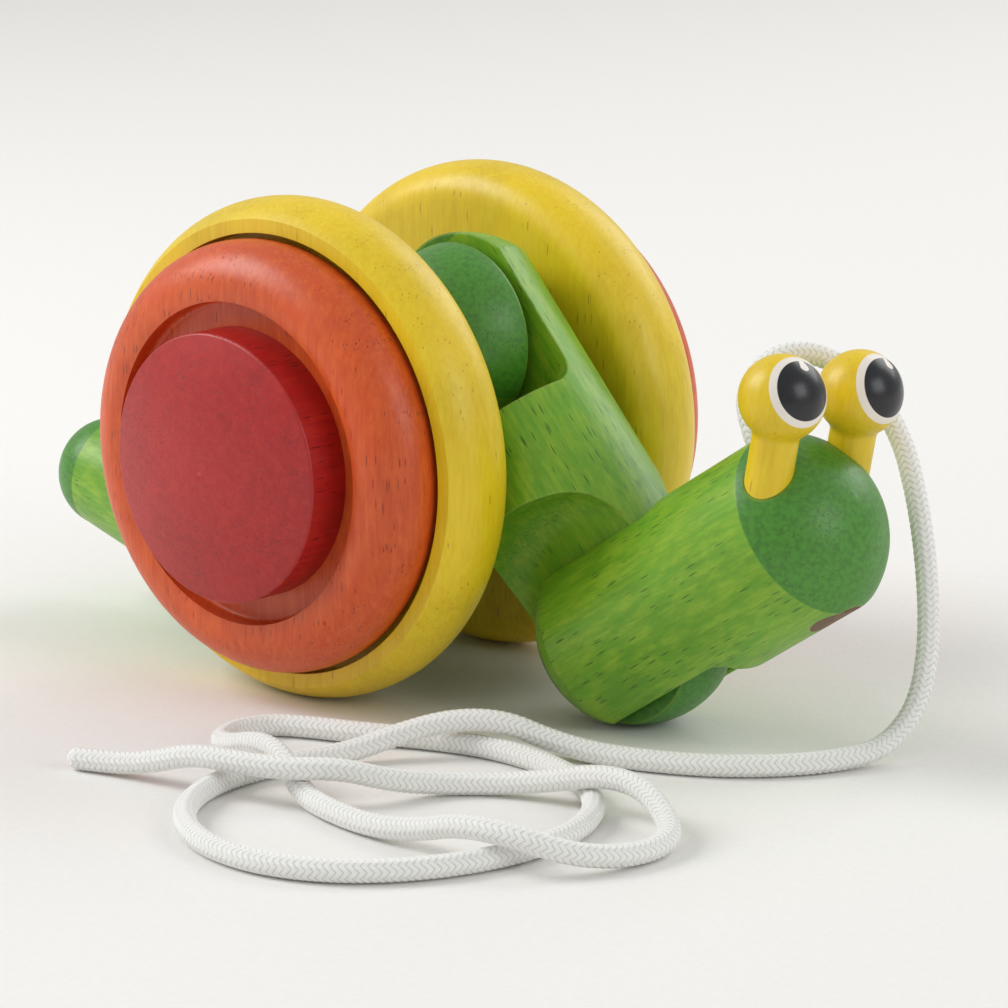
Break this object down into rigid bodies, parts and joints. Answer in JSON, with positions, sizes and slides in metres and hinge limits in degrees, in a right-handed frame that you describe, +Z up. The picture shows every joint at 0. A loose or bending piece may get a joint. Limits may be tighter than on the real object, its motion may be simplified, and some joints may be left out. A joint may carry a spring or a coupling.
{
  "type": "pull-along toy",
  "caption": "Wooden snail on a white cord, with four hinged logs, peg eyes and two stacks of dished discs on an off-centre axle that makes it hump along as it is pulled.",
  "frame": {"origin": "on the floor under the middle of the wooden snail, without its cord", "axes": "+X forwards, from the tail to the head; +Y to the snail's left; +Z up"},
  "size_m": [0.1992, 0.1599, 0.09],
  "materials": {
    "yellow_wood": "satin dyed beech",
    "orange_wood": "satin dyed beech",
    "red_wood": "satin dyed beech",
    "green_wood": "satin dyed beech",
    "plain_wood": "bare beech",
    "brown_wood": "bare brown dowel",
    "cord": "white braid"
  },
  "bodies": {
    "front_link": {"front_link": "green_wood"},
    "rear_link": {"rear_link": "green_wood"},
    "wheelset": {"outer_wheel_left": "yellow_wood", "outer_wheel_right": "yellow_wood", "middle_ring_left": "orange_wood", "middle_ring_right": "orange_wood", "hub_button_left": "red_wood", "hub_button_right": "red_wood", "stack_dowel_left": "plain_wood", "stack_dowel_right": "plain_wood", "axle_dowel": "plain_wood"},
    "head": {"head": "green_wood", "front_pivot_pin": "plain_wood", "eye_left": "yellow_wood", "eye_right": "yellow_wood", "cord_plug": "brown_wood", "cord_knot": "cord", "pull_cord": "cord"},
    "tail": {"tail": "green_wood", "rear_pivot_pin": "plain_wood"}
  },
  "joints": [
    {"name": "wheelset_turn", "type": "hinge", "parent": "front_link", "child": "wheelset", "pos_m": [0.00598, 0, 0.0638], "axis": [0, 1, 0], "continuous": true},
    {"name": "rear_link_hinge", "type": "hinge", "parent": "front_link", "child": "rear_link", "pos_m": [0.00598, 0, 0.0638], "axis": [0, 1, 0], "range_deg": [-17, 90]},
    {"name": "head_hinge", "type": "hinge", "parent": "front_link", "child": "head", "pos_m": [0.04688, 0, 0.0175], "axis": [0, 1, 0], "range_deg": [-15, 33], "deforming": ["pull_cord"]},
    {"name": "tail_hinge", "type": "hinge", "parent": "rear_link", "child": "tail", "pos_m": [-0.03492, 0, 0.0175], "axis": [0, 1, 0], "range_deg": [-30, 40]}
  ]
}
